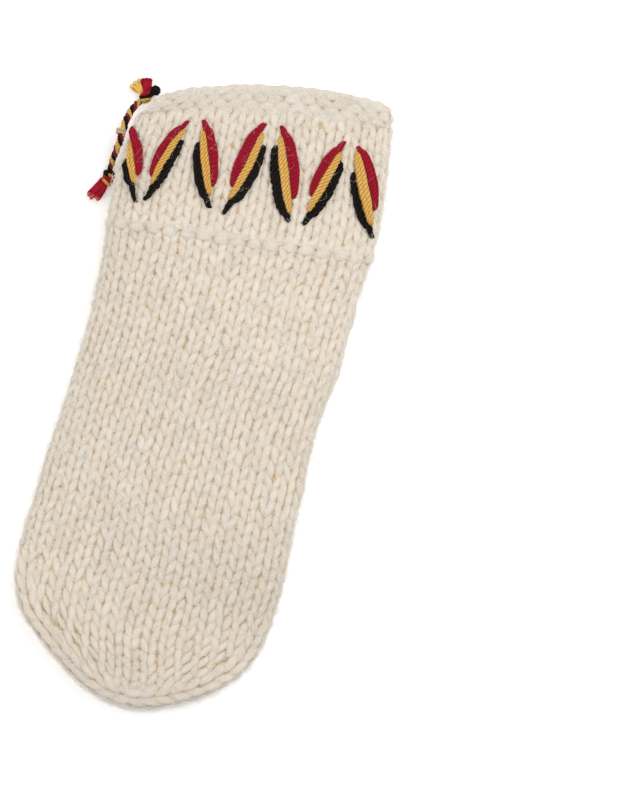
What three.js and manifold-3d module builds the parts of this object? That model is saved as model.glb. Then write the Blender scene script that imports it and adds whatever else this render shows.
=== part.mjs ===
// A hand-knitted bulky wool mitten for the right hand, lying palm down with its thumb folded under the palm.
// Sizes are millimetres. X runs across the hand, Y from the fingertips (-) to the cuff (+), and Z is up.
// The mitten lies on z = 0, and the origin is under the middle of its outline.

import * as THREE from 'three';
import { mergeVertices } from 'three/addons/utils/BufferGeometryUtils.js';
import Module from 'manifold-3d';

const WALL = 4.5; // thickness of the knitted fabric
const THUMB_WALL = 4.2; // the thumb is knitted a little tighter
const GAP = 0.3; // clearance between neighbouring pieces
const AROUND = 40; // points around one cross-section of the hand and cuff
const THUMB_AROUND = 26;
const OUTLINE_STEPS = 160; // fine points from which the even ones are taken
const SIDE_POWER = 3; // how square the folded sides of the flattened tube are
const FACE_POWER = 2.4; // how flat its back and palm are
const FLATTEN = 1.6; // depth of palm pressed flat by the surface that it lies on
const BOW_HALF_WIDTH = 54; // half width over which the courses near the rim bow upwards
// The stretch across X over which the hand rises to pass over the thumb: short on the palm, which lies
// close round the thumb, and long on the back.
const PALM_DRAPE = { from: -24, to: 8 };
const BACK_DRAPE = { from: -60, to: 36 };
const OPEN_END = 6; // how far a hollow is cut past an open end

// The courses of knitting from the rim to the fingertips, each a closed section of the flattened tube. The
// hand is in three lengths, which part at the thumb hole and where the decreases for the tip start. Columns:
// y at X = 0, its slope across, the rise of its middle, its left and right folds, its thickness,
// the height of its underside, and its further rise where it passes over the thumb.
const RIM = [
  { y: 129.2, tilt: 0.19, bow: 7.0, left: -49.5, right: 50.6, thick: 23.0, floor: 0.6, lift: 2.0 },
  { y: 126.0, tilt: 0.187, bow: 6.6, left: -52.2, right: 52.2, thick: 25.0, floor: 0.0, lift: 2.3 },
  { y: 117.5, tilt: 0.178, bow: 5.5, left: -55.0, right: 54.2, thick: 26.0, floor: 0.0, lift: 2.8 },
];
const BAND = [
  { y: 117.2, tilt: 0.178, bow: 5.5, left: -55.2, right: 54.4, thick: 23.0, floor: 3.0, lift: 2.8 },
  { y: 105.0, tilt: 0.16, bow: 4.0, left: -56.6, right: 56.2, thick: 23.0, floor: 3.0, lift: 3.6 },
  { y: 92.0, tilt: 0.135, bow: 2.4, left: -57.7, right: 57.9, thick: 23.0, floor: 3.0, lift: 4.4 },
  { y: 80.0, tilt: 0.115, bow: 1.0, left: -57.3, right: 59.1, thick: 23.0, floor: 3.0, lift: 5.2 },
  { y: 71.0, tilt: 0.1, bow: 0.0, left: -56.6, right: 59.0, thick: 23.0, floor: 3.0, lift: 5.8 },
];
const WELT = [
  { y: 70.7, tilt: 0.1, bow: 0.0, left: -56.3, right: 58.8, thick: 25.2, floor: 0.6, lift: 5.8 },
  { y: 69.0, tilt: 0.1, bow: 0.0, left: -56.9, right: 59.4, thick: 26.6, floor: 0.0, lift: 6.0 },
  { y: 65.4, tilt: 0.1, bow: 0.0, left: -56.7, right: 59.2, thick: 26.4, floor: 0.0, lift: 6.2 },
  { y: 63.7, tilt: 0.1, bow: 0.0, left: -56.0, right: 58.6, thick: 25.2, floor: 0.6, lift: 6.4 },
];
const HAND_BASE = [
  { y: 63.4, tilt: 0.1, bow: 0.0, left: -55.9, right: 58.5, thick: 25.0, floor: 0.6, lift: 6.4 },
  { y: 56.0, tilt: 0.095, bow: 0.0, left: -55.1, right: 57.9, thick: 25.0, floor: 0.0, lift: 7.6 },
  { y: 46.0, tilt: 0.088, bow: 0.0, left: -54.4, right: 57.0, thick: 24.5, floor: 0.0, lift: 9.8 },
  { y: 36.0, tilt: 0.08, bow: 0.0, left: -54.0, right: 56.6, thick: 24.0, floor: 0.0, lift: 12.6 },
  { y: 26.0, tilt: 0.06, bow: 0.0, left: -53.6, right: 56.8, thick: 23.1, floor: 0.0, lift: 15.1 },
  { y: 17.0, tilt: 0.0, bow: 0.0, left: -53.9, right: 56.4, thick: 22.6, floor: 0.0, lift: 16.1 },
];
const HAND = [
  { y: 16.7, tilt: 0.0, bow: 0.0, left: -53.9, right: 56.4, thick: 22.6, floor: 0.0, lift: 16.1 },
  { y: 2.0, tilt: 0.02, bow: 0.0, left: -54.4, right: 54.2, thick: 22.0, floor: 0.0, lift: 16.2 },
  { y: -14.0, tilt: 0.0, bow: 0.0, left: -55.1, right: 53.5, thick: 22.0, floor: 0.0, lift: 16.2 },
  { y: -30.0, tilt: -0.02, bow: 0.0, left: -56.4, right: 54.4, thick: 22.0, floor: 0.0, lift: 16.2 },
  { y: -46.0, tilt: -0.045, bow: 0.0, left: -57.4, right: 54.7, thick: 22.0, floor: 0.0, lift: 15.8 },
  { y: -60.0, tilt: -0.055, bow: 0.0, left: -57.9, right: 55.4, thick: 22.0, floor: 0.0, lift: 13.4 },
  { y: -74.0, tilt: -0.065, bow: 0.0, left: -58.8, right: 55.8, thick: 22.4, floor: 0.0, lift: 8.0 },
  { y: -83.0, tilt: -0.069, bow: 0.0, left: -59.3, right: 55.3, thick: 22.4, floor: 0.0, lift: 4.6 },
  { y: -91.7, tilt: -0.068, bow: 0.0, left: -59.2, right: 54.5, thick: 22.2, floor: 0.0, lift: 2.0 },
];
const TIP = [
  { y: -92.0, tilt: -0.068, bow: 0.0, left: -59.2, right: 54.5, thick: 22.2, floor: 0.0, lift: 2.0 },
  { y: -98.0, tilt: -0.063, bow: 0.0, left: -58.7, right: 53.5, thick: 21.8, floor: 0.0, lift: 0.7 },
  { y: -105.0, tilt: -0.05, bow: 0.0, left: -56.6, right: 51.5, thick: 21.0, floor: 0.0, lift: 0.0 },
  { y: -113.0, tilt: -0.035, bow: 0.0, left: -51.2, right: 47.6, thick: 20.0, floor: 0.0, lift: 0.0 },
  { y: -120.0, tilt: -0.02, bow: 0.0, left: -42.6, right: 42.2, thick: 18.5, floor: 0.0, lift: 0.0 },
  { y: -126.5, tilt: -0.01, bow: 0.0, left: -33.8, right: 35.6, thick: 17.0, floor: 0.0, lift: 0.0 },
  { y: -132.0, tilt: 0.0, bow: 0.0, left: -25.3, right: 27.3, thick: 15.0, floor: 0.2, lift: 0.0 },
  { y: -136.2, tilt: 0.0, bow: 0.0, left: -17.0, right: 18.2, thick: 12.0, floor: 1.2, lift: 0.0 },
  { y: -139.0, tilt: 0.0, bow: 0.0, left: -9.5, right: 11.0, thick: 7.6, floor: 3.2, lift: 0.0 },
  { y: -140.0, tilt: 0.0, bow: 0.0, left: -4.5, right: 6.0, thick: 3.0, floor: 5.4, lift: 0.0 },
];

// The gusset widens the palm from just under the welt to the thumb hole, and the thumb goes on from there.
const THUMB_HOLE_Y = 17;
const GUSSET = [
  { y: 60.0, left: 46.0, right: 54.0, thick: 10.0, floor: 11.0 },
  { y: 50.0, left: 36.0, right: 57.4, thick: 22.0, floor: 4.4 },
  { y: 38.0, left: 25.0, right: 57.1, thick: 27.4, floor: 0.8 },
  { y: 28.0, left: 13.5, right: 57.1, thick: 30.0, floor: 0.0 },
  { y: THUMB_HOLE_Y, left: 4.0, right: 56.8, thick: 31.0, floor: 0.0 },
];
const THUMB = [
  { y: THUMB_HOLE_Y - GAP, left: 4.2, right: 55.6, thick: 15.5, floor: 0.0 },
  { y: 3.0, left: 3.0, right: 53.0, thick: 15.5, floor: 0.0 },
  { y: -12.0, left: 3.2, right: 52.0, thick: 15.5, floor: 0.0 },
  { y: -26.0, left: 4.6, right: 51.6, thick: 15.4, floor: 0.0 },
  { y: -38.0, left: 6.8, right: 50.6, thick: 15.0, floor: 0.0 },
  { y: -47.0, left: 10.0, right: 48.6, thick: 14.2, floor: 0.0 },
  { y: -54.0, left: 14.6, right: 45.2, thick: 12.6, floor: 0.2 },
  { y: -59.5, left: 20.5, right: 40.4, thick: 9.4, floor: 1.4 },
  { y: -62.8, left: 27.0, right: 35.0, thick: 4.0, floor: 3.9 },
];

// Slanted embroidery strokes round the band, seen from above. A stroke is three strands of thick yarn: red,
// yellow and black, each colour set a step lower than the last and shifted a little sideways. Columns: the
// top of the red strand, how far it leans and drops, the step, the shift, and how far the middle of each
// strand bows sideways (+X).
const STROKES = [
  { x: -54.0, y: 106.0, lean: 6.0, drop: 23.0, step: 5.2, shift: -1.4, bows: [2.2, -0.6, -2.9] },
  { x: -33.4, y: 113.2, lean: -8.6, drop: 28.4, step: 4.6, shift: 0.5, bows: [-2.9, 0.1, 2.6] },
  { x: -25.4, y: 115.0, lean: 9.6, drop: 27.4, step: 5.0, shift: -0.3, bows: [2.6, -0.3, -3.2] },
  { x: -1.0, y: 120.0, lean: -7.0, drop: 31.0, step: 5.6, shift: 0.6, bows: [-2.9, 0.3, 3.2] },
  { x: 7.4, y: 121.0, lean: 12.2, drop: 30.6, step: 4.8, shift: -0.3, bows: [3.2, -0.2, -3.6] },
  { x: 34.2, y: 121.0, lean: -7.8, drop: 28.6, step: 5.2, shift: 0.8, bows: [-2.8, -0.1, 3.0] },
  { x: 41.8, y: 121.0, lean: 12.0, drop: 27.4, step: 5.6, shift: -0.6, bows: [2.6, -0.6, -3.2] },
];
const STRAND_COLOURS = ['red', 'yellow', 'black'];
const STRAND_WIDTH = 3.6;
const STRAND_THICK = 2.0;
const STRAND_STEPS = 6;
const STRAND_SIDES = 6;
const STRAND_CLEARANCE = 0.5; // to the band, measured before the faces are flattened into facets
const STRAND_TAPER = 0.3; // width at the ends of a strand, as a part of its full width
const FOLD_LIMIT = 0.985; // how near to the fold a strand's middle may come, as a part of the half width

// The tie is a cord of three twisted yarns, held at the left fold of the cuff by one loop of yarn. Its two
// ends hang down to the surface and end in a knot with a tuft.
const CORD_DIAMETER = 3;
const CORD_SIDES = 8;
const CORD_STEPS = 16;
const CORD_ROUTE = [
  [-55.3, 116.3, 3.4],
  [-56.1, 115.2, 4.4],
  [-56.9, 113.7, 5.9],
  [-57.6, 112.0, 7.9],
  [-58.2, 110.0, 10.0],
  [-58.6, 107.7, 12.1],
  [-58.8, 105.4, 13.8],
  [-58.9, 103.1, 14.7],
  [-58.9, 101.0, 15.0],
  [-59.0, 98.8, 14.7],
  [-59.3, 96.4, 13.6],
  [-59.6, 94.1, 11.9],
  [-60.0, 91.9, 9.8],
  [-60.4, 89.6, 7.8],
  [-60.7, 87.3, 5.5],
  [-60.8, 85.8, 4.1],
  [-60.9, 84.4, 3.0],
];
const LOOP_AT = [-58.9, 101.0, 15.0];
const LOOP_WIRE = 0.9; // radius of the yarn of the loop
const TOP_KNOT = [-53.5, 119.0, 3.2];
const LOW_KNOT = [-61.3, 80.9, 3.2];
const KNOT_RADIUS = 2.6;
// Locks of a tuft: their direction in plan in degrees from +X, their length, radius and rise of the tip.
const TOP_LOCKS = [
  { turn: 140, length: 7.0, radius: 2.5, rise: 0.6 },
  { turn: 104, length: 7.5, radius: 2.5, rise: 1.6 },
  { turn: 58, length: 5.5, radius: 3.1, rise: 0.2 },
];
const LOW_LOCKS = [
  { turn: 236, length: 10.5, radius: 2.4, rise: 0.2 },
  { turn: 246, length: 11.5, radius: 2.7, rise: 1.0 },
  { turn: 256, length: 10.0, radius: 2.4, rise: 0.2 },
];
const LOCK_SIDES = 7;

const wool = new THREE.MeshStandardMaterial({ color: '#e9e1d0', roughness: 0.95, metalness: 0 });
const ridgeWool = new THREE.MeshStandardMaterial({ color: '#e2d8c4', roughness: 0.95, metalness: 0 });
const twisted = new THREE.MeshStandardMaterial({ color: '#7d3a35', roughness: 0.9, metalness: 0 });
const tuftWool = new THREE.MeshStandardMaterial({ color: '#a81735', roughness: 0.9, metalness: 0 });
const strandWool = {
  red: new THREE.MeshStandardMaterial({ color: '#b0173a', roughness: 0.9, metalness: 0 }),
  yellow: new THREE.MeshStandardMaterial({ color: '#efb14a', roughness: 0.9, metalness: 0 }),
  black: new THREE.MeshStandardMaterial({ color: '#1f2024', roughness: 0.9, metalness: 0 }),
};

const wasm = await Module();
wasm.setup();

// A number's power that keeps its sign, for the rounded box shape of a section.
function signedPower(value, power) {
  return Math.sign(value) * Math.abs(value) ** power;
}

// How far the fabric at x has risen over the thumb, from 0 beside it to 1 on top of it, at a share up
// from the underside (-1) to the back (1).
function drape(x, up) {
  const share = (up + 1) / 2;
  const from = THREE.MathUtils.lerp(PALM_DRAPE.from, BACK_DRAPE.from, share);
  const to = THREE.MathUtils.lerp(PALM_DRAPE.to, BACK_DRAPE.to, share);
  return THREE.MathUtils.smoothstep(x, from, to);
}

// The point of a course at x across and a share up (-1 underside, 1 back), inset into the fabric.
function pointOfCourse(course, x, up, inset) {
  const { y, tilt = 0, bow = 0, thick, floor, lift = 0 } = course;
  const height = ((thick - 2 * inset + FLATTEN) / 2) * (1 + up) - FLATTEN;
  const along = y + tilt * x + bow * (1 - (x / BOW_HALF_WIDTH) ** 2);
  return new THREE.Vector3(x, along, floor + inset + Math.max(0, height) + lift * drape(x, up));
}

// One closed section of the flattened tube, with evenly spaced points.
function ringOfCourse(course, inset, around) {
  const half = (course.right - course.left) / 2 - inset;
  const middle = (course.right + course.left) / 2;
  const outline = [];
  for (let i = 0; i < OUTLINE_STEPS; i += 1) {
    const angle = (2 * Math.PI * i) / OUTLINE_STEPS;
    const x = middle + half * signedPower(Math.cos(angle), 2 / SIDE_POWER);
    outline.push(pointOfCourse(course, x, signedPower(Math.sin(angle), 2 / FACE_POWER), inset));
  }
  const even = new THREE.CatmullRomCurve3(outline, true).getSpacedPoints(around).slice(0, around);
  even.forEach((point) => point.setZ(Math.max(point.z, course.floor + inset)));
  return even;
}

function middleOf(ring) {
  const sum = new THREE.Vector3();
  ring.forEach((point) => sum.add(point));
  return sum.divideScalar(ring.length);
}

// A closed solid through rings of equal point count: each end is closed to its middle, or with
// joined set the last ring runs on into the first, as in a sleeve with a wall.
function loft(rings, joined = false) {
  const sides = rings[0].length;
  const points = rings.flat();
  const rows = joined ? rings.length : rings.length - 1;
  const faces = [];
  for (let row = 0; row < rows; row += 1) {
    const here = row * sides;
    const ahead = ((row + 1) % rings.length) * sides;
    for (let i = 0; i < sides; i += 1) {
      const next = (i + 1) % sides;
      faces.push(here + i, here + next, ahead + next, here + i, ahead + next, ahead + i);
    }
  }
  if (!joined) {
    const firstCap = points.push(middleOf(rings[0])) - 1;
    const lastCap = points.push(middleOf(rings.at(-1))) - 1;
    const lastRing = rows * sides;
    for (let i = 0; i < sides; i += 1) {
      const next = (i + 1) % sides;
      faces.push(firstCap, next, i, lastCap, lastRing + i, lastRing + next);
    }
  }
  const geometry = new THREE.BufferGeometry().setFromPoints(points);
  geometry.setIndex(faces);
  return geometry;
}

function toSolid(geometry) {
  const bare = geometry.clone();
  bare.deleteAttribute('normal');
  bare.deleteAttribute('uv');
  const merged = mergeVertices(bare, 1e-4);
  return new wasm.Manifold(
    new wasm.Mesh({
      numProp: 3,
      vertProperties: new Float32Array(merged.attributes.position.array),
      triVerts: new Uint32Array(merged.index.array),
    }),
  );
}

function toGeometry(solid) {
  const { vertProperties, triVerts } = solid.getMesh();
  const geometry = new THREE.BufferGeometry();
  geometry.setAttribute('position', new THREE.BufferAttribute(vertProperties, 3));
  geometry.setIndex(new THREE.BufferAttribute(triVerts, 1));
  return geometry;
}

function named(name, geometry, material) {
  const mesh = new THREE.Mesh(geometry, material);
  mesh.name = name;
  return mesh;
}

function outside(courses, around = AROUND) {
  return toSolid(loft(courses.map((course) => ringOfCourse(course, 0, around))));
}

// The hollow of a tube of courses, cut past its first course. With through set it is cut past the last
// course too, and otherwise it stops short of the closed tip.
function hollow(courses, wall, around, through = false) {
  const ahead = { ...courses[0], y: courses[0].y + OPEN_END };
  const beyond = { ...courses.at(-1), y: courses.at(-1).y - OPEN_END };
  const kept = courses.filter(({ thick }) => thick > 2.6 * wall);
  const cut = through ? [ahead, ...kept, beyond] : [ahead, ...kept];
  return toSolid(loft(cut.map((course) => ringOfCourse(course, wall, around))));
}

// A length of the tube that is open at both ends.
function sleevePiece(name, courses, material) {
  const outer = courses.map((course) => ringOfCourse(course, 0, AROUND));
  const inner = courses.map((course) => ringOfCourse(course, WALL, AROUND));
  return named(name, loft([...outer, ...inner.reverse()], true), material);
}

// The base of the hand with the gusset joined to its palm, both open at the level of the thumb hole.
function handBasePiece() {
  const lastGusset = GUSSET.at(-1);
  const gussetHollow = [...GUSSET.slice(1), { ...lastGusset, y: lastGusset.y - 2 * GAP }];
  const inside = toSolid(loft(gussetHollow.map((course) => ringOfCourse(course, WALL, THUMB_AROUND))));
  const solid = outside(HAND_BASE)
    .add(outside(GUSSET, THUMB_AROUND))
    .subtract(hollow(HAND_BASE, WALL, AROUND, true))
    .subtract(inside);
  return named('hand_base', toGeometry(solid), wool);
}

function tipPiece() {
  const solid = outside(TIP).subtract(hollow(TIP, WALL, AROUND));
  return named('tip', toGeometry(solid), wool);
}

function thumbPiece() {
  const solid = outside(THUMB, THUMB_AROUND).subtract(hollow(THUMB, THUMB_WALL, THUMB_AROUND));
  return named('thumb', toGeometry(solid), wool);
}

// The course of the band that passes through a point seen from above, blended from its neighbours.
function courseAt(x, y) {
  const height = ({ tilt, bow, y: middle }) => middle + tilt * x + bow * (1 - (x / BOW_HALF_WIDTH) ** 2);
  const lower = Math.max(1, BAND.findIndex((course) => height(course) < y));
  const share = (y - height(BAND[lower])) / (height(BAND[lower - 1]) - height(BAND[lower]));
  const blended = {};
  for (const key of Object.keys(BAND[0])) {
    blended[key] = THREE.MathUtils.lerp(BAND[lower][key], BAND[lower - 1][key], share);
  }
  return blended;
}

// The surface of the band at a point seen from above, on its back (side 1) or its palm (side -1),
// with the outward direction there.
function bandSurface(x, y, side) {
  const course = courseAt(x, y);
  const half = (course.right - course.left) / 2;
  const middle = (course.right + course.left) / 2;
  const held = THREE.MathUtils.clamp(x, middle - FOLD_LIMIT * half, middle + FOLD_LIMIT * half);
  const upAt = (at) => side * (1 - Math.abs((at - middle) / half) ** SIDE_POWER) ** (1 / FACE_POWER);
  const point = pointOfCourse(course, held, upAt(held), 0);
  const before = pointOfCourse(course, held - 0.2, upAt(held - 0.2), 0);
  const after = pointOfCourse(course, held + 0.2, upAt(held + 0.2), 0);
  const outward = new THREE.Vector3(before.z - after.z, 0, after.x - before.x).multiplyScalar(side);
  return { point: new THREE.Vector3(held, y, point.z), outward: outward.normalize() };
}

// One strand of a stroke: a flat tapered bar of yarn that follows the band.
function strandGeometry(stroke, index, side) {
  const rings = [];
  for (let i = 0; i <= STRAND_STEPS; i += 1) {
    const t = i / STRAND_STEPS;
    const belly = Math.sin(Math.PI * t);
    const x = stroke.x + stroke.shift * index + stroke.lean * t + stroke.bows[index] * belly;
    const y = stroke.y - stroke.step * index - stroke.drop * t;
    const { point, outward } = bandSurface(x, y, side);
    const full = STRAND_TAPER + (1 - STRAND_TAPER) * belly;
    const thick = (STRAND_THICK / 2) * full;
    const centre = point.clone().addScaledVector(outward, STRAND_CLEARANCE + thick);
    const across = new THREE.Vector3(outward.z, 0, -outward.x);
    const ring = [];
    for (let j = 0; j < STRAND_SIDES; j += 1) {
      const angle = (2 * Math.PI * j) / STRAND_SIDES;
      const sideways = (STRAND_WIDTH / 2) * full * Math.cos(angle);
      const corner = centre.clone().addScaledVector(across, sideways);
      ring.push(corner.addScaledVector(outward, thick * Math.sin(angle)));
    }
    rings.push(ring);
  }
  return loft(rings);
}

function embroidery() {
  const group = new THREE.Group();
  for (const [face, side] of [['back', 1], ['palm', -1]]) {
    STROKES.forEach((stroke, number) => {
      STRAND_COLOURS.forEach((colour, index) => {
        const name = `stitch_${face}_${number + 1}_${colour}`;
        group.add(named(name, strandGeometry(stroke, index, side), strandWool[colour]));
      });
    });
  }
  return group;
}

function polygon(radius, sides) {
  const shape = new THREE.Shape();
  for (let i = 0; i < sides; i += 1) {
    const angle = (2 * Math.PI * i) / sides;
    const corner = [radius * Math.cos(angle), radius * Math.sin(angle)];
    if (i === 0) shape.moveTo(...corner);
    else shape.lineTo(...corner);
  }
  return shape;
}

function tube(points, radius, sides, steps) {
  const extrudePath = new THREE.CatmullRomCurve3(points.map((point) => new THREE.Vector3(...point)));
  return new THREE.ExtrudeGeometry(polygon(radius, sides), { steps, extrudePath, bevelEnabled: false });
}

// The loop of yarn round the outer side of the cord, open towards the cuff.
function loopGeometry() {
  const reach = CORD_DIAMETER / 2 + GAP + LOOP_WIRE;
  const points = [];
  for (let degrees = 85; degrees <= 275; degrees += 19) {
    const angle = THREE.MathUtils.degToRad(degrees);
    points.push([LOOP_AT[0] + reach * Math.cos(angle), LOOP_AT[1], LOOP_AT[2] + reach * Math.sin(angle)]);
  }
  return tube(points, LOOP_WIRE, 6, points.length - 1);
}

// A tuft: pointed locks of yarn fused to the knot that they come out of.
function tuftPiece(name, knot, locks, material) {
  const head = new THREE.SphereGeometry(KNOT_RADIUS, 12, 8);
  head.scale(1.05, 1.15, 1).rotateX(Math.PI / 2).translate(...knot);
  let solid = toSolid(head);
  for (const { turn, length, radius, rise } of locks) {
    const angle = THREE.MathUtils.degToRad(turn);
    const rings = [0, 0.3, 0.7, 1].map((t) => {
      const width = radius * (1 - 0.75 * Math.abs(t - 0.35) ** 1.5);
      const away = (KNOT_RADIUS - 1 + length) * t;
      const centre = [knot[0] + away * Math.cos(angle), knot[1] + away * Math.sin(angle), radius + rise * t];
      const ring = [];
      for (let i = 0; i < LOCK_SIDES; i += 1) {
        const around = (2 * Math.PI * i) / LOCK_SIDES;
        const sideways = width * Math.cos(around);
        ring.push(new THREE.Vector3(
          centre[0] - sideways * Math.sin(angle),
          centre[1] + sideways * Math.cos(angle),
          centre[2] + 0.2 + width * Math.sin(around),
        ));
      }
      return ring;
    });
    solid = solid.add(toSolid(loft(rings)));
  }
  return named(name, toGeometry(solid), material);
}

function tie() {
  const group = new THREE.Group();
  const cord = tube(CORD_ROUTE, CORD_DIAMETER / 2, CORD_SIDES, CORD_STEPS);
  group.add(named('tie_cord', cord, twisted));
  group.add(named('tie_loop', loopGeometry(), wool));
  group.add(tuftPiece('tie_top_tuft', TOP_KNOT, TOP_LOCKS, tuftWool));
  group.add(tuftPiece('tie_low_tuft', LOW_KNOT, LOW_LOCKS, tuftWool));
  return group;
}

const mitten = new THREE.Group();
mitten.add(sleevePiece('rim', RIM, ridgeWool));
mitten.add(sleevePiece('cuff_band', BAND, wool));
mitten.add(sleevePiece('welt', WELT, ridgeWool));
mitten.add(handBasePiece());
mitten.add(sleevePiece('hand', HAND, wool));
mitten.add(tipPiece());
mitten.add(thumbPiece());
mitten.add(embroidery());
mitten.add(tie());

export default mitten;
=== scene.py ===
"""A hand-knitted bulky wool mitten with an embroidered cuff, dressed stitch by stitch round its CAD solids."""

import math

import bmesh
import bpy
import numpy as np
from mathutils import Matrix, Vector


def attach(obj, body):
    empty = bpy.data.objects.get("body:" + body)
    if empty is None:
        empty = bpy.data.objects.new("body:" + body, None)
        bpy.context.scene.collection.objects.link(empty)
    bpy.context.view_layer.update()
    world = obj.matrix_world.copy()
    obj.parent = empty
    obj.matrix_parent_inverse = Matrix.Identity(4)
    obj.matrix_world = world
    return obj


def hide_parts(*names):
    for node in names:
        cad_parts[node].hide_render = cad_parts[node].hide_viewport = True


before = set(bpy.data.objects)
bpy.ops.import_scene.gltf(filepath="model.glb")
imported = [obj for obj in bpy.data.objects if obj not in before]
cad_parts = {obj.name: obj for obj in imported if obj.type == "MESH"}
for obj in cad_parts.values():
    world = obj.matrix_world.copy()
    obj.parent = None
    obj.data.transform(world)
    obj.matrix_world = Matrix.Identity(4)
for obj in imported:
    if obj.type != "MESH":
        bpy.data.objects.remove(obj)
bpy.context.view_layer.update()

# ---------------------------------------------------------------- the view
# The mitten lies palm down on a white table and is seen from straight above through a long lens, turned so
# that its cuff points up and a little to the right. Large soft lamps light it evenly.

VIEW_CENTRE = Vector((0.0471, 0.0083, 0.014))
VIEW_RIGHT = Vector((0.970, 0.242, 0.0)).normalized()
VIEW_HEIGHT = 0.3453  # metres of table from the top of the picture to its foot
CAMERA_AWAY = 1.9
SENSOR = 24  # mm

up = Vector((0, 0, 1)).cross(VIEW_RIGHT)
camera = bpy.data.objects.new("camera", bpy.data.cameras.new("camera"))
camera.data.sensor_fit = "VERTICAL"
camera.data.sensor_height = SENSOR
camera.data.lens = SENSOR * CAMERA_AWAY / VIEW_HEIGHT
camera.matrix_world = Matrix.Translation(VIEW_CENTRE + Vector((0, 0, CAMERA_AWAY))) @ Matrix(
    (VIEW_RIGHT, up, Vector((0, 0, 1)))
).transposed().to_4x4()
bpy.context.scene.collection.objects.link(camera)
bpy.context.scene.camera = camera
bpy.context.scene.view_settings.view_transform = "Standard"


def lamp(name, place, size, power):
    """A soft white lamp at a place in metres, turned to the mitten."""
    data = bpy.data.lights.new(name, "AREA")
    data.size = size
    data.energy = power
    made = bpy.data.objects.new(name, data)
    made.location = place
    made.rotation_euler = (-Vector(place)).to_track_quat("-Z", "Y").to_euler()
    bpy.context.scene.collection.objects.link(made)


lamp("key_lamp", (0.45, 0.65, 1.1), size=0.9, power=9.0)
lamp("fill_lamp", (-0.8, -0.3, 1.0), size=1.2, power=5.0)
sky = bpy.data.worlds.new("room")
sky.use_nodes = True
room = sky.node_tree.nodes["Background"].inputs
room["Color"].default_value = (1, 0.99, 0.98, 1)
room["Strength"].default_value = 0.62
bpy.context.scene.world = sky

table = bmesh.new()
bmesh.ops.create_grid(table, x_segments=1, y_segments=1, size=2.5)
table_mesh = bpy.data.meshes.new("table")
table.to_mesh(table_mesh)
table.free()
table_top = bpy.data.objects.new("table", table_mesh)
table_paint = bpy.data.materials.new("white table")
table_paint.use_nodes = True
paint = table_paint.node_tree.nodes["Principled BSDF"].inputs
paint["Base Color"].default_value = (0.92, 0.92, 0.92, 1)
paint["Roughness"].default_value = 0.9
paint["Emission Color"].default_value = (1, 1, 1, 1)
paint["Emission Strength"].default_value = 0.25
table_mesh.materials.append(table_paint)
bpy.context.scene.collection.objects.link(table_top)

# ---------------------------------------------------------------- the tie
# The tie is a short cord of three wool yarns, yellow, black and dark red, twisted hard together. It hangs over
# the left fold of the cuff, and its ends lie on the table.

MM = 0.001


def linear(shown):
    """A colour as it shows on a screen, red, green and blue to 255, made the linear one that a shader wants."""
    return tuple(((c / 255 + 0.055) / 1.055) ** 2.4 for c in shown) + (1.0,)


def lengths_along(line):
    """How far along a line of points each of them lies."""
    return np.concatenate([[0], np.cumsum(np.linalg.norm(np.diff(line, axis=0), axis=1))])


def read_along(at, run, values):
    """The three values given at each point of a line, read at other places along it."""
    return np.stack([np.interp(at, run, values[:, i]) for i in range(3)], axis=-1)


def smooth_through(knots, rows, at):
    """The smooth curve that takes each row's values at its knot, read at the places given."""
    slopes = np.gradient(rows, knots, axis=0)
    k = np.clip(np.searchsorted(knots, at, side="right") - 1, 0, len(knots) - 2)
    gap = (knots[k + 1] - knots[k])[:, None]
    f = (at - knots[k])[:, None] / gap
    return (
        (2 * f**3 - 3 * f**2 + 1) * rows[k]
        + (f**3 - 2 * f**2 + f) * gap * slopes[k]
        + (3 * f**2 - 2 * f**3) * rows[k + 1]
        + (f**3 - f**2) * gap * slopes[k + 1]
    )


def smooth_line(points, count):
    """Evenly spaced points of the smooth line through the given ones, in mm."""
    points = np.array(points, float)
    knots = lengths_along(points)
    line = smooth_through(knots, points, np.linspace(0, knots[-1], count * 4))
    run = lengths_along(line)
    return read_along(np.linspace(0, run[-1], count), run, line)


def frames_along(line):
    """The direction of a line at each of its points, and two directions square to it that turn no more than it."""
    ahead = np.gradient(line, axis=0)
    ahead /= np.linalg.norm(ahead, axis=1, keepdims=True)
    aside = np.cross(ahead[0], [0, 0, 1.0])
    if np.linalg.norm(aside) < 0.1:
        aside = np.cross(ahead[0], [0, 1.0, 0])
    asides = []
    for step in ahead:
        aside = aside - step * np.dot(aside, step)
        aside = aside / np.linalg.norm(aside)
        asides.append(aside)
    asides = np.array(asides)
    return ahead, asides, np.cross(asides, ahead)


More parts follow.
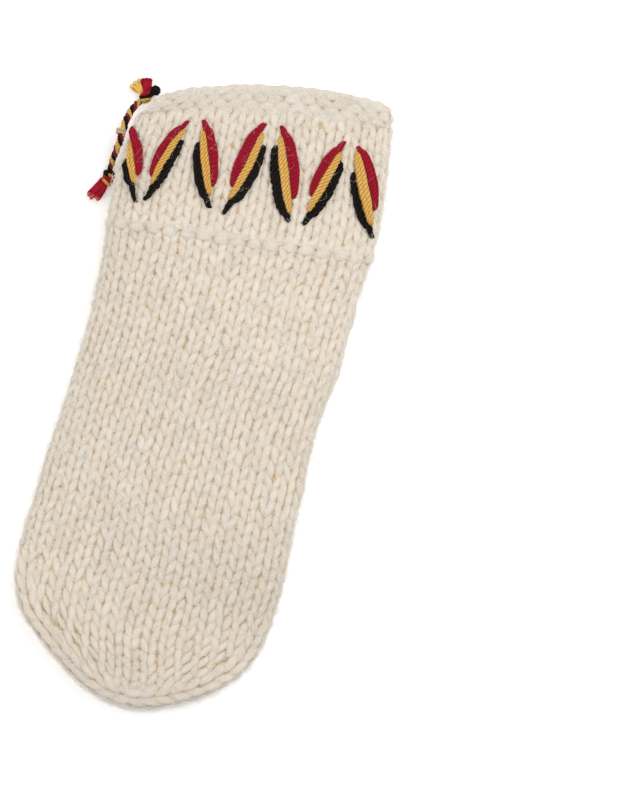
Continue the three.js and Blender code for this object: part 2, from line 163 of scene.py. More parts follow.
def lay_strands(name, count, sides, rings, place, material):
    """Makes count copies of one closed strand as an array, and lays each where place puts it.

    place gets t, 0 to 1 along a strand, and its angle round it. It gives the points of all copies in mm, the
    place of each in its yarn (two across, one along), its shade (tone, depth for the gap's painted shade, chance)
    and, for knitting, the way out of the cloth."""
    bead = bmesh.new()
    bmesh.ops.create_uvsphere(bead, u_segments=sides, v_segments=rings, radius=1)
    mesh = bpy.data.meshes.new(name)
    bead.to_mesh(mesh)
    bead.free()
    piece = bpy.data.objects.new(name, mesh)
    bpy.context.scene.collection.objects.link(piece)
    one = np.zeros(len(mesh.vertices) * 3, np.float32)
    mesh.vertices.foreach_get("co", one)
    one = one.reshape(-1, 3)
    if count > 1:
        rows = piece.modifiers.new("copies", "ARRAY")
        rows.count = count
        rows.use_relative_offset = False
        rows.use_constant_offset = True
        rows.constant_offset_displace = (3, 0, 0)
        shaped = bpy.data.meshes.new_from_object(piece.evaluated_get(bpy.context.evaluated_depsgraph_get()))
        piece.modifiers.clear()
        piece.data = shaped
        bpy.data.meshes.remove(mesh)
        mesh = shaped
        mesh.name = name
    t = np.arccos(np.clip(one[:, 2].astype(float), -1, 1)) / math.pi
    turn = np.arctan2(one[:, 1], one[:, 0]).astype(float)
    points, *layers = place(t, turn)
    points[..., 2] = np.maximum(points[..., 2], 0.02)  # nothing sinks into the table
    for values, attribute in zip(layers, ("yarn", "shade", "cloth")):
        layer = mesh.attributes.new(attribute, "FLOAT_VECTOR", "POINT")
        layer.data.foreach_set("vector", np.ascontiguousarray(values, np.float32).ravel())
    mesh.vertices.foreach_set("co", np.ascontiguousarray(points * MM, np.float32).ravel())
    mesh.shade_smooth()
    mesh.update()
    mesh.materials.append(material)
    return piece


def yarn_on(line, width, thick, taper, t, turn, twist=0.0, lobes=0, relief=0.0, out=None):
    """The points of one yarn along a line of points, with its places in the yarn for the fibres' pattern.

    width and thick are its half sizes, and taper how blunt its ends are. lobes and relief make its plies."""
    ahead, aside, above = frames_along(line)
    if out is not None:
        above = out - ahead * (out * ahead).sum(1, keepdims=True)
        above /= np.linalg.norm(above, axis=1, keepdims=True)
        aside = np.cross(ahead, above)
    run = lengths_along(line)
    at = t * run[-1]
    middle, aside, above = (read_along(at, run, values) for values in (line, aside, above))
    full = np.maximum(0, np.sin(np.pi * t)) ** taper
    grow = full * (1 - relief * np.cos(lobes * turn + twist * at))
    wide, tall = width * grow * np.cos(turn), thick * grow * np.sin(turn)
    points = middle + aside * wide[:, None] + above * tall[:, None]
    spun = turn + twist / max(lobes, 1) * at
    yarn = np.stack([np.cos(spun) * width, np.sin(spun) * width, at], axis=1)
    # Painted shade: depth marks the grooves between the plies, where the gap's colour is painted in.
    depth = np.clip(0.5 + 0.5 * np.cos(lobes * turn + twist * at), 0, 1) if lobes else np.zeros_like(t)
    return points, yarn, depth


def several(yarns):
    """Joins the places of single yarns for lay_strands, with a tone and a chance value for each."""

    def place(t, turn):
        laid = [make(t, turn) for make, _, _ in yarns]
        shade = [
            np.stack([np.full_like(t, tone), depth, np.full_like(t, chance)], axis=1)
            for (_, _, depth), (_, tone, chance) in zip(laid, yarns)
        ]
        return np.stack([one[0] for one in laid]), np.stack([one[1] for one in laid]), np.stack(shade)

    return place


def stand_in(piece, nodes):
    """Makes a piece ride on the mitten's one body and stand for CAD nodes."""
    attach(piece, "root")
    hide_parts(*nodes)
    return piece


def wool_fibres():
    """The fibres of spun wool: streaks that run round the yarn as it is twisted, a paler and a darker tone, and the
    gap's darker colour painted as shade into the gaps between the plies and the stitches."""
    group = bpy.data.node_groups.new("wool fibres", "ShaderNodeTree")
    for socket, value in (
        ("Light", (1, 1, 1, 1)), ("Dark", (0.5, 0.5, 0.5, 1)), ("Gap", (0.3, 0.3, 0.3, 1)), ("Fibre size", 1.0),
        ("Gap share", 0.5), ("Plies", 0.0), ("Ply depth", 0.0), ("Evenness", 0.0), ("Purl rows", 0.0),
    ):
        kind = "NodeSocketColor" if isinstance(value, tuple) else "NodeSocketFloat"
        group.interface.new_socket(socket, in_out="INPUT", socket_type=kind).default_value = value
    for socket, kind in (("Color", "Color"), ("Height", "Float"), ("Roughness", "Float"), ("Normal", "Vector")):
        group.interface.new_socket(socket, in_out="OUTPUT", socket_type=f"NodeSocket{kind}")
    nodes, link = group.nodes, group.links.new
    given, put = nodes.new("NodeGroupInput").outputs, nodes.new("NodeGroupOutput").inputs

    def add(kind, *values, **settings):
        """The outputs of a new node. Each value goes into its next input, as a number or as a link."""
        made = nodes.new(f"ShaderNode{kind}")
        for setting, value in settings.items():
            setattr(made, setting, value)
        for socket, value in zip(made.inputs, values):
            if isinstance(value, bpy.types.NodeSocket):
                link(value, socket)
            else:
                socket.default_value = value
        return made.outputs

    def math_of(kind, *values):
        return add("Math", *values, operation=kind)[0]

    def wave_of(value, times):
        return math_of("ABSOLUTE", math_of("SINE", math_of("MULTIPLY", value, times)))

    def noise(scale, detail, rough, low, high):
        """Fine noise along the yarn, spread so that low to high becomes 0 to 1."""
        made = nodes.new("ShaderNodeTexNoise")
        made.inputs["Detail"].default_value = detail
        made.inputs["Roughness"].default_value = rough
        link(math_of("DIVIDE", scale, given["Fibre size"]), made.inputs["Scale"])
        link(in_yarn, made.inputs["Vector"])
        return add("MapRange", made.outputs["Fac"], low, high)["Result"]

    def blend(kind, share, first, second):
        made = nodes.new("ShaderNodeMix")
        made.data_type = kind
        for socket, value in (("Factor", share), ("A", first), ("B", second)):
            link(value, made.inputs[socket])
        return made.outputs["Result"]

    yarn, shade, row, cloth = (
        add("Attribute", attribute_name=name)["Vector"] for name in ("yarn", "shade", "row", "cloth")
    )
    own_tone, own_depth, luck = add("SeparateXYZ", shade)
    luck = math_of("MULTIPLY", luck, 60.0)  # no two strands show the same part of the noise
    apart = add("CombineXYZ", luck, 0.0, luck)[0]
    in_yarn = add("VectorMath", yarn, (1.0, 1.0, 0.22), apart, operation="MULTIPLY_ADD")[0]
    streaks, hairs = noise(3.2, 4, 0.6, 0.3, 0.7), noise(9.0, 2, 0.5, 0.35, 0.65)

    # The light falls on the stitches partly as on one even cloth.
    facing = blend("VECTOR", given["Evenness"], add("NewGeometry")["Normal"], cloth)
    link(add("VectorMath", facing, operation="NORMALIZE")[0], put["Normal"])

    # The grooves between the plies, and the hollows between the purl bumps of the inner side. Both dent the bump, and
    # both take the gap's colour as painted shade.
    across, above, _ = add("SeparateXYZ", yarn)
    spun = math_of("MULTIPLY", math_of("ARCTAN2", above, across), given["Plies"])
    groove = math_of("POWER", math_of("SUBTRACT", 1.0, wave_of(spun, 0.5)), 1.4)
    groove = math_of("MULTIPLY", groove, given["Ply depth"])
    column, line, _ = add("SeparateXYZ", row)
    column = math_of("ADD", column, math_of("MULTIPLY", math_of("FLOOR", line), 0.5))
    bump_across = math_of("ADD", math_of("MULTIPLY", wave_of(column, math.pi), 0.6), 0.4)
    bump = math_of("MULTIPLY", wave_of(line, math.pi), bump_across)
    hollow = math_of("MULTIPLY", math_of("SUBTRACT", 1.0, bump), given["Purl rows"])

    tone = math_of("ADD", math_of("MULTIPLY", streaks, 0.6), math_of("MULTIPLY", own_tone, 0.4))
    # Painted shade: what lies deep by the shade attribute, in a ply's groove or in a purl hollow, is painted in the
    # gap's darker colour.
    painted_shade = math_of("MAXIMUM", math_of("MULTIPLY", own_depth, given["Gap share"]), groove)
    painted_shade = math_of("MAXIMUM", painted_shade, math_of("MULTIPLY", hollow, 0.9))
    body = blend("RGBA", tone, given["Dark"], given["Light"])
    link(blend("RGBA", painted_shade, body, given["Gap"]), put["Color"])
    rough = math_of("ADD", math_of("MULTIPLY", streaks, 0.6), math_of("MULTIPLY", hairs, 0.4))
    rough = math_of("SUBTRACT", rough, math_of("MULTIPLY", groove, 3.0))
    link(math_of("SUBTRACT", rough, math_of("MULTIPLY", hollow, 4.0)), put["Height"])
    link(math_of("ADD", math_of("MULTIPLY", hairs, 0.12), 0.82), put["Roughness"])
    return group


fibres = wool_fibres()
PLY_DEPTH = 0.85  # how far the gap's colour fills the grooves between plies as painted shade, and how deep their bump is


def wool(name, light, dark, gap, size, gap_share, relief, sheen, plies=0, even=0.0, painted_glow=0.0, purl=0.0, gloss=0.15):
    """Spun wool in a light and a dark tone of one colour, with the halo of its loose fibres as sheen.

    gap is a darker colour painted as shade where it lies deep, and gap_share how far it fills there. size is that of
    its fibres, relief the height of its fibres in metres, and even how far the light falls on it as on one even
    cloth. Its glow is painted light."""
    made = bpy.data.materials.new(name)
    made.use_nodes = True
    nodes, link = made.node_tree.nodes, made.node_tree.links.new
    skin = nodes["Principled BSDF"]
    spun = nodes.new("ShaderNodeGroup")
    spun.node_tree = fibres
    for socket, value in (
        ("Light", linear(light)), ("Dark", linear(dark)), ("Gap", linear(gap)), ("Fibre size", size),
        ("Gap share", gap_share),
        ("Plies", plies), ("Ply depth", PLY_DEPTH if plies else 0.0), ("Purl rows", purl), ("Evenness", even),
    ):
        spun.inputs[socket].default_value = value
    bump = nodes.new("ShaderNodeBump")
    bump.inputs["Strength"].default_value = 0.6
    bump.inputs["Distance"].default_value = relief
    link(spun.outputs["Color"], skin.inputs["Base Color"])
    link(spun.outputs["Roughness"], skin.inputs["Roughness"])
    link(spun.outputs["Height"], bump.inputs["Height"])
    link(spun.outputs["Normal"], bump.inputs["Normal"])
    link(bump.outputs["Normal"], skin.inputs["Normal"])
    skin.inputs["Specular IOR Level"].default_value = gloss
    skin.inputs["Sheen Weight"].default_value = sheen
    skin.inputs["Sheen Roughness"].default_value = 0.5
    skin.inputs["Emission Color"].default_value = linear(light)
    skin.inputs["Emission Strength"].default_value = painted_glow  # painted light: a glow that stands in for the light coming through fine fibres
    return made


# Each wool's third colour is painted shade, laid into the grooves between its plies.
RED_WOOL = wool("crimson wool", (224, 22, 58), (140, 0, 28), (62, 0, 12), 0.8, 0.42, 0.0006, 0.05, plies=3)
YELLOW_WOOL = wool(
    "golden yellow wool", (255, 222, 128), (248, 178, 72), (166, 92, 28), 0.8, 0.36, 0.0006, 0.05, plies=3
)
BLACK_WOOL = wool("black wool", (58, 52, 48), (6, 4, 3), (0, 0, 0), 0.8, 0.4, 0.001, 0.0, plies=3, gloss=0.05)
DARK_RED_WOOL = wool("dark red wool", (158, 20, 48), (110, 8, 30), (60, 4, 16), 0.8, 0.5, 0.0003, 0.1, plies=3)
CREAM_YARN = wool(
    "cream loop yarn", (226, 206, 170), (196, 172, 130), (150, 124, 88), 0.5, 0.6, 0.00012, 0.35, plies=3
)

CORD_DIAMETER = 3.0
CORD_ROUTE = [
    (-55.3, 116.3, 3.4), (-56.1, 115.2, 4.4), (-56.9, 113.7, 5.9), (-57.6, 112.0, 7.9),
    (-58.2, 110.0, 10.0), (-58.6, 107.7, 12.1), (-58.8, 105.4, 13.8), (-58.9, 103.1, 14.7),
    (-58.9, 101.0, 15.0), (-59.0, 98.8, 14.7), (-59.3, 96.4, 13.6), (-59.6, 94.1, 11.9),
    (-60.0, 91.9, 9.8), (-60.4, 89.6, 7.8), (-60.7, 87.3, 5.5), (-60.8, 85.8, 4.1),
    (-60.9, 84.4, 3.0),
]
TOP_KNOT = np.array([-53.5, 119.0, 3.2])
LOW_KNOT = np.array([-61.3, 80.9, 3.2])
CORD_PITCH = 8.6  # length in which each yarn goes once round the cord

cord_line = smooth_line(CORD_ROUTE, 120)


def round_cord(start, radius):
    """The line of one yarn on its way round the cord, a little unevenly, as it was twisted by hand."""
    _, aside, above = frames_along(cord_line)
    run = lengths_along(cord_line)
    angle = start + 2 * math.pi * run / CORD_PITCH + 0.5 * np.sin(run * 0.55)
    fullness = np.linspace(1.12, 0.86, len(run))[:, None]  # it is twisted harder towards its foot
    away = (CORD_DIAMETER / 2 + 0.1 - radius + 0.16 * np.sin(run * 1.7 + start)[:, None]) * fullness
    return cord_line + away * (aside * np.cos(angle)[:, None] + above * np.sin(angle)[:, None])


def plied(line, width, thick, luck, taper=0.12, twist=4.5):
    """A yarn of three plies on a line, of the half sizes given, in a middle tone and with a chance value."""
    return (lambda t, turn: yarn_on(line, width, thick, taper, t, turn, twist, 3, 0.09)), 0.5, luck


cord_parts = []
for colour, material, start, radius in (
    ("yellow", YELLOW_WOOL, 0.0, 1.15), ("black", BLACK_WOOL, 2.2, 0.9), ("red", DARK_RED_WOOL, 4.2, 0.85),
):
    yarn = plied(round_cord(start, radius), radius, radius, 0.3)
    cord_parts.append(lay_strands(f"tie_{colour}", 1, 10, 110, several([yarn]), material))


def join_pieces(name, pieces):
    """Makes one piece of several, each with its own material."""
    with bpy.context.temp_override(
        active_object=pieces[0], selected_editable_objects=pieces, selected_objects=pieces
    ):
        bpy.ops.object.join()
    pieces[0].name = name
    pieces[0].data.name = name
    return pieces[0]


tie_cord = stand_in(join_pieces("tie_twist", cord_parts), ["tie_cord"])

# ---------------------------------------------------------------- the tie's loop and tufts
# One turn of cream yarn holds the tie to the cuff. Each end of the tie is knotted, and the yarns come out of
# the knot as a short tuft: red and yellow ends and a ball of black at the top, a thick red brush at the foot.

LOOP_AT = np.array([-58.9, 101.0, 15.0])  # the middle of the loop, on the cord's line
LOOP_WIRE = 0.9  # how far the loop's yarn keeps from the cord
LOOP_STRAND = LOOP_WIRE * 0.7  # half size of each of the loop's two strands
# Their third colour is painted shade in the grooves between the plies of the cut ends.
CUT_YELLOW = wool("cut yellow wool", (250, 232, 176), (232, 196, 120), (190, 140, 80), 0.6, 0.4, 0.0003, 0.1)
CUT_RED = wool("cut red wool", (228, 132, 112), (190, 56, 64), (110, 16, 26), 0.6, 0.4, 0.0003, 0.1)

loop_reach = CORD_DIAMETER / 2 + LOOP_WIRE
loop_line = smooth_line([
    LOOP_AT + [loop_reach * math.cos(angle), 0.4 * math.sin(angle), loop_reach * math.sin(angle)]
    for angle in map(math.radians, range(60, 301, 20))
], 40)
loop_yarns = [plied(loop_line + [0, shift, 0], LOOP_STRAND, LOOP_STRAND, shift) for shift in (-0.6, 0.6)]
tie_loop = stand_in(
    lay_strands("tie_yarn_loop", 2, 8, 30, several(loop_yarns), CREAM_YARN), ["tie_loop"]
)


def knot_turn(centre, facing, radius, tilt, width, luck=0.7, floor=1.0):
    """A turn of yarn round a knot, its axis at facing degrees in plan and leaning by tilt. width is its half size."""
    along = np.array([math.cos(math.radians(facing)), math.sin(math.radians(facing)), tilt])
    along /= np.linalg.norm(along)
    side = np.cross(along, [0, 0, 1.0])
    side /= np.linalg.norm(side)
    top = np.cross(side, along)
    angles = np.linspace(0, 2 * math.pi, 24)
    ring = centre + radius * (np.cos(angles)[:, None] * side + np.sin(angles)[:, None] * top)
    ring[:, 2] = np.maximum(ring[:, 2], floor)
    return plied(ring, width, width, luck)


def lock(start, turn, length, rise, fan=0.0):
    """The line of a yarn's end out of a knot, in plan at turn degrees, climbing by rise and bent by fan degrees."""
    a, b = math.radians(turn), math.radians(turn + fan)
    points = [
        start,
        start + np.array([math.cos(a), math.sin(a), rise * 0.3]) * length * 0.4,
        start + np.array([math.cos(b), math.sin(b), rise]) * length,
    ]
    return smooth_line(points, 24)


def yellow_line(k, length):
    """The line of the top tuft's yellow end number k."""
    return lock(TOP_KNOT + [-0.6, 0.4, 0], 142 + k * 12, length, 0.02, k * 6)


def brush_line(k, length):
    """The line of the low tuft's red end number k."""
    start = LOW_KNOT + [-0.4 + 1.3 * math.cos(k), -0.6, 0.3 * math.sin(k * 2)]
    return lock(start, 246 + 9 * math.cos(k * 1.9), length + 0.6 * math.sin(3 * k), -0.02 + 0.05 * math.sin(k))


def cut_end(line, radius):
    """The open end of a cut yarn, a paler button of fibres over the last of its line."""
    last = line[-7:] + [0, 0, 0.25]
    return (lambda t, turn: yarn_on(last, radius, radius * 0.9, 0.4, t, turn, 3, 3, 0.15)), 0.6, 0.4


def tuft(name, sets):
    """A knot and its yarns' ends as one piece. Each set is a name, yarns, the rings of each, and their wool."""
    laid = [
        lay_strands(f"{name}_{part}_end", len(yarns), 10, rings, several(yarns), material)
        for part, yarns, rings, material in sets
    ]
    return stand_in(join_pieces(f"tie_{name}_ends", laid), [f"tie_{name}_tuft"])


three = (-1, 0, 1)
top_cut = [cut_end(yellow_line(k, 7.9), 1.05) for k in three]
top_red = [
    plied(lock(TOP_KNOT + [0.2, 0.6, 0.4], 104 + k * 9, 7.6, 0.1, k * 4), 1.5, 1.3, k * 0.2, 0.22, 1.1) for k in three
]
top_red.append(knot_turn(TOP_KNOT + [-0.4, 1.2, 0], 130, 1.8, 0.1, 0.9))
top_yellow = [plied(yellow_line(k, 7.4), 1.5, 1.1, k * 0.2, 0.22, 1.1) for k in three]
top_yellow.append(knot_turn(TOP_KNOT + [0.5, -1.4, 0], 120, 1.9, -0.2, 0.95))
top_black = [
    plied(smooth_line([(-51.5, 121.0, 3.0), (-50.1, 122.4, 3.4), (-48.4, 124.0, 3.0)], 24), 2.3, 2.3, 0.1, 0.5),
    plied(lock(TOP_KNOT + [0.2, 0, 0], 42, 4.2, 0.05), 1.3, 1.3, 0.4, 0.2),
    knot_turn(TOP_KNOT, 110, 2.0, 0.3, 1.0),
]
top_tuft = tuft("top", (
    ("cut", top_cut, 8, CUT_YELLOW), ("red", top_red, 24, RED_WOOL), ("yellow", top_yellow, 24, YELLOW_WOOL),
    ("black", top_black, 24, BLACK_WOOL),
))

low_cut = [cut_end(brush_line(k, 10.9), 0.85) for k in range(7)]
low_red = [plied(brush_line(k, 10.4), 1.25, 1.15, k * 0.13, 0.12, 0.9) for k in range(7)]
low_red.append(knot_turn(LOW_KNOT + [0.5, -0.6, 0], 252, 2.0, 0.1, 1.0))
low_black = [
    knot_turn(LOW_KNOT + [-0.6, 0.8, 0], 205, 1.7, 0.2, 1.1),
    knot_turn(LOW_KNOT + [0.9, 2.7, 0], 248, 1.3, 0.1, 0.8, 0.3, 0.8),
]
low_yellow = [
    knot_turn(LOW_KNOT + [0.9, 1.1, 0], 259, 1.8, 0, 0.75), knot_turn(LOW_KNOT + [0.1, -2.2, 0], 242, 1.8, 0, 0.75),
]
low_tuft = tuft("low", (
    ("cut", low_cut, 8, CUT_RED), ("red", low_red, 28, RED_WOOL), ("black", low_black, 28, BLACK_WOOL),
    ("yellow", low_yellow, 28, YELLOW_WOOL),
))

# ---------------------------------------------------------------- the hand
# The hand is a tube of plain knitting in one thick cream yarn. Each stitch shows as a V of two leaning legs,
# in straight columns from the cuff to the fingertips, and it rises over the thumb that lies under it.

STITCH = 7.55  # width of a stitch
ROW = 5.3  # height of a row
SIDE_POWER, FACE_POWER = 3, 2.4  # how full the tube's section is at its folds and on its faces
FLATTEN = 1.6  # how far the palm is pressed flat by the table
BOW_HALF_WIDTH = 54  # half the width over which a course bows
PALM_DRAPE, BACK_DRAPE = (-24, 8), (-60, 36)  # from which x to which each face climbs over the thumb
THUMB_Y = 17  # where the thumb leaves the gusset
# Columns: y, slope across, rise of the middle, left and right folds, thickness, underside, rise over the thumb.
HAND = [
    (63.4, 0.1, 0, -55.9, 58.5, 25.0, 0.6, 6.4), (56, 0.095, 0, -55.1, 57.9, 25.0, 0, 7.6),
    (46, 0.088, 0, -54.4, 57.0, 24.5, 0, 9.8), (36, 0.08, 0, -54.0, 56.6, 24.0, 0, 12.6),
    (26, 0.07, 0, -53.6, 56.8, 23.1, 0, 15.1), (17, 0.052, 0, -53.9, 56.4, 22.6, 0, 16.1),
    (2, 0.022, 0, -54.4, 54.2, 22.0, 0, 16.2), (-14, 0, 0, -55.1, 53.5, 22.0, 0, 16.2),
    (-30, -0.02, 0, -56.4, 54.4, 22.0, 0, 16.2), (-46, -0.045, 0, -57.4, 54.7, 22.0, 0, 15.8),
    (-60, -0.055, 0, -57.9, 55.4, 22.0, 0, 13.4), (-74, -0.065, 0, -58.8, 55.8, 22.4, 0, 8.0),
    (-83, -0.069, 0, -59.3, 55.3, 22.4, 0, 4.6), (-92, -0.068, 0, -59.2, 54.5, 22.2, 0, 2.0),
    (-98, -0.063, 0, -58.7, 53.5, 21.8, 0, 0.7), (-105, -0.05, 0, -56.6, 51.5, 21.0, 0, 0),
    (-113, -0.035, 0, -51.2, 47.6, 20.0, 0, 0), (-120, -0.02, 0, -42.6, 42.2, 18.5, 0, 0),
    (-126.5, -0.01, 0, -33.8, 35.6, 17.0, 0, 0), (-132, 0, 0, -25.3, 27.3, 15.0, 0.2, 0),
    (-136.2, 0, 0, -17.0, 18.2, 12.0, 1.2, 0), (-139, 0, 0, -9.5, 11.0, 7.6, 3.2, 0),
    (-140, 0, 0, -4.5, 6.0, 3.0, 5.4, 0),
]
HAND_STITCHES = 34  # round the whole tube
TIP_FROM = -88.0  # from here down the columns end in the bands of decreases along both outlines


def cloth_height(x, high, thick, floor, lift):
    """The height of the cloth at x, as it lies over the thumb. high is -1 on the palm and 1 on the back."""
    share = (high + 1) / 2
    start, end = (palm + (back - palm) * share for palm, back in zip(PALM_DRAPE, BACK_DRAPE))
    risen = np.clip((x - start) / (end - start), 0, 1)
    height = np.maximum(0, (thick + FLATTEN) / 2 * (1 + high) - FLATTEN)
    return floor + height + lift * (risen * risen * (3 - 2 * risen))


def section_points(course, inset, count=1440):
    """The section of a tube of knitting at each course, in mm, from its right fold over its back."""
    y, tilt, bow, left, right, thick, floor, lift = (course[..., i : i + 1] for i in range(8))
    angle = np.linspace(0, 2 * math.pi, count, endpoint=False)
    cosine, sine = np.cos(angle), np.sin(angle)
    half, middle = (right - left) / 2 - inset, (right + left) / 2
    x = middle + half * np.sign(cosine) * np.abs(cosine) ** (2 / SIDE_POWER)
    high = np.sign(sine) * np.abs(sine) ** (2 / FACE_POWER)
    along = y + tilt * x + bow * (1 - (x / BOW_HALF_WIDTH) ** 2)
    return np.stack([x, along, cloth_height(x, high, thick - 2 * inset, floor + inset, lift)], axis=-1)


class Fabric:
    """The outer face of a tube of knitting as a fine net: u is a share of the way round, v is mm along it."""

    ACROSS = 288

    def __init__(self, courses, inset=0.0, step=1.2):
        table = np.array(courses, float)
        if table.shape[1] == 5:  # a tube that lies flat has no slope, rise of the middle or rise over the thumb
            plain = np.zeros((len(table), 8))
            plain[:, [0, 3, 4, 5, 6]] = table
            table = plain
        knots = lengths_along(table[:, [0, 5]])
        self.courses = smooth_through(knots, table, np.linspace(0, knots[-1], max(8, int(knots[-1] / step))))
        fine = section_points(self.courses, inset)
        closed = np.concatenate([fine, fine[:, :1]], axis=1)
        run = np.concatenate(
            [np.zeros((len(fine), 1)), np.cumsum(np.linalg.norm(np.diff(closed, axis=1), axis=2), axis=1)], axis=1
        )
        self.girth = run[:, -1]
        net = np.empty((len(fine), self.ACROSS, 3))
        for row in range(len(fine)):
            net[row] = read_along(np.linspace(0, self.girth[row], self.ACROSS, endpoint=False), run[row], closed[row])
        self.net = net
        across = np.roll(net, -1, axis=1) - np.roll(net, 1, axis=1)
        along = np.gradient(net, axis=0)
        self.length = np.concatenate([[0], np.cumsum(np.linalg.norm(np.diff(net, axis=0), axis=2).mean(1))])
        out = np.cross(across, along)
        self.out = out / np.maximum(np.linalg.norm(out, axis=2, keepdims=True), 1e-9)

    def row_of(self, v):
        """The row of the net, with its fraction, that lies v mm along the tube, also a little past its ends."""
        first, last = self.length[1] - self.length[0], self.length[-1] - self.length[-2]
        row = np.interp(v, self.length, np.arange(len(self.length)))
        return row + np.minimum(0, v) / first + np.maximum(0, v - self.length[-1]) / last

    def girth_at(self, v):
        return np.interp(v, self.length, self.girth)

    def at(self, u, v, height=0.0):
        """Points at a share u round the tube and v mm along it, height mm above its face."""
        return self.both(u, v, height)[0]

    def both(self, u, v, height):
        """The same points, and the way out of the cloth at each."""
        row = self.row_of(v)
        above = np.clip(row.astype(int), 0, len(self.net) - 2)
        down = (row - above)[..., None]
        column = (u % 1.0) * self.ACROSS
        here = column.astype(int) % self.ACROSS
        beside = (here + 1) % self.ACROSS
        over = (column - np.floor(column))[..., None]

        def pick(grid):
            near = grid[above, here] * (1 - over) + grid[above, beside] * over
            far = grid[above + 1, here] * (1 - over) + grid[above + 1, beside] * over
            return near * (1 - down) + far * down

        out = pick(self.out)
        out /= np.maximum(np.linalg.norm(out, axis=-1, keepdims=True), 1e-9)
        return pick(self.net) + out * np.asarray(height)[..., None], out

    def v_of_y(self, y):
        """How far along the middle of the back y lies."""
        back = self.courses[:, 0]
        return float(np.interp(-y, -back, self.length))


LEG_LONG, LEG_HALF_WIDE, LEG_LEAN = 2.05, 0.262, 0.125  # a leg's length in rows, the others in stitches
LEG_HALF_THICK = 1.3
LEG_SINK, LEG_DIP = 1.1, 0.75  # how deep a leg's middle lies, and its ends below that
# How far hand knitting varies: a leg's place across, along and up, length, width, thickness, lean and tone.
LEG_SPREAD = [0.16, 0.28, 0.16, 0.05, 0.05, 0.05, 0.3, 1]


def stitches(fabric, u, v, wide, tall, seed):
    """Where the two legs of each V lie, one strand to a leg, in the columns u and rows v.

    wide and tall are the stitch's size in mm."""
    chance = np.random.default_rng(seed)
    u, v, wide, tall = (np.repeat(np.broadcast_to(a, u.shape).astype(float), 2) for a in (u, v, wide, tall))
    side = np.tile([-1.0, 1.0], len(u) // 2)
    count = len(u)
    nudge = chance.normal(0, 1, (count, 8)) * LEG_SPREAD
    luck = chance.random(count)

    def place(t, angle):
        n = nudge[:, :, None]
        lean = np.cos(np.pi * t)[None] * LEG_LEAN * (1 + n[:, 6])
        across = side[:, None] * wide[:, None] * (0.25 + lean) + n[:, 0]
        along = (t - 0.5)[None] * tall[:, None] * LEG_LONG * (1 + n[:, 3]) + n[:, 1]
        bend = (2 * t - 1)[None]
        sink = -LEG_SINK - LEG_DIP * bend**2 + 0.2 * bend + n[:, 2]
        full = np.maximum(0, np.sin(np.pi * t))[None] ** 0.75
        across = across + LEG_HALF_WIDE * wide[:, None] * (1 + n[:, 4]) * full * np.cos(angle)[None]
        height = sink + LEG_HALF_THICK * (1 + n[:, 5]) * full * np.sin(angle)[None]
        vv = v[:, None] + along
        points, out = fabric.both(u[:, None] - across / fabric.girth_at(vv), vv, height)
        spun = angle[None] + side[:, None] * 0.9 + 0.45 * along
        yarn = np.stack([np.cos(spun) * 2, np.sin(spun) * 2, along], axis=-1)
        tone = np.clip(0.5 + 0.16 * n[:, 7] + 0 * height, 0, 1)
        # Painted shade: where a leg dips under its neighbours, the gap's colour is painted in.
        depth = np.clip(-0.5 - height + 2.4 * (np.abs(bend) - 0.64), 0, 1)
        shade = np.stack([tone, depth, np.broadcast_to(luck[:, None], height.shape)], axis=-1)
        return points, yarn, shade, out

    return count, place


# The third, tan colour is painted shade where legs dip under their neighbours and between the columns.
CREAM = ((248, 240, 229), (232, 216, 192), (235, 210, 167))
CREAM_WOOL = wool("cream wool", *CREAM, 1.7, 0.8, 0.0006, 0.3, even=0.34)
# The loose fibres glow a little: painted light that lifts the shadows they cast on each other.
LOOSE_WOOL = wool(
    "loose cream fibres", (255, 251, 244), (244, 236, 222), (226, 208, 176), 1.0, 0.0, 0.0, 0.2, even=0.8, painted_glow=0.3
)
FIBRE_LONG, FIBRE_HALF_THICK = (3.5, 8.5), (0.035, 0.06)  # the least and the most


def loose_fibres(
    name, fabric, count, v_from, v_to, seed, node, keep=None, base=-0.5, lift=(0.7, 2.4), rings=3,
    fine_by=1.0,
):
    """Fine fibres that stand loose from the wool. Each springs from one stitch and curls over its neighbours.

    keep chooses where they may spring, base is how high above the cloth, and lift how far they rise."""
    chance = np.random.default_rng(seed)
    u, v = chance.random(count), v_from + chance.random(count) * (v_to - v_from)
    if keep is not None:
        kept = keep(fabric.at(u, v))
        u, v = u[kept], v[kept]
    count = len(u)
    length, heading = chance.uniform(*FIBRE_LONG, count)[:, None], chance.uniform(0, 2 * math.pi, count)[:, None]
    curl = chance.normal(0, 1.3, count)[:, None] / length
    curl = np.where(np.abs(curl) < 0.01, 0.01, curl)
    rise = (lift[0] + (lift[1] - lift[0]) * chance.random(count) ** 2)[:, None]
    thick = fine_by * chance.uniform(*FIBRE_HALF_THICK, count)[:, None]
    tones, lucks = chance.random(count)[:, None], chance.random(count)[:, None]

    def place(t, angle):
        bearing = heading + curl * length * t[None]
        fine = thick * np.maximum(0, np.sin(np.pi * t))[None] ** 0.3
        across = (np.sin(bearing) - np.sin(heading)) / curl - np.sin(bearing) * fine * np.cos(angle)[None]
        along = (np.cos(heading) - np.cos(bearing)) / curl + np.cos(bearing) * fine * np.cos(angle)[None]
        height = base + rise * np.sin(np.pi * t)[None] + fine * np.sin(angle)[None]
        vv = np.clip(v[:, None] + along, -2.5, fabric.length[-1] + 1)
        points, out = fabric.both(u[:, None] + across / np.maximum(fabric.girth_at(vv), 20), vv, height)
        nil = 0 * height
        yarn = np.stack([np.cos(angle)[None] + nil, np.sin(angle)[None] + nil, length * t[None]], axis=-1)
        return points, yarn, np.stack([tones + nil, nil, lucks + nil], axis=-1), out

    return stand_in(lay_strands(name, count, 3, rings, place, LOOSE_WOOL), [node])


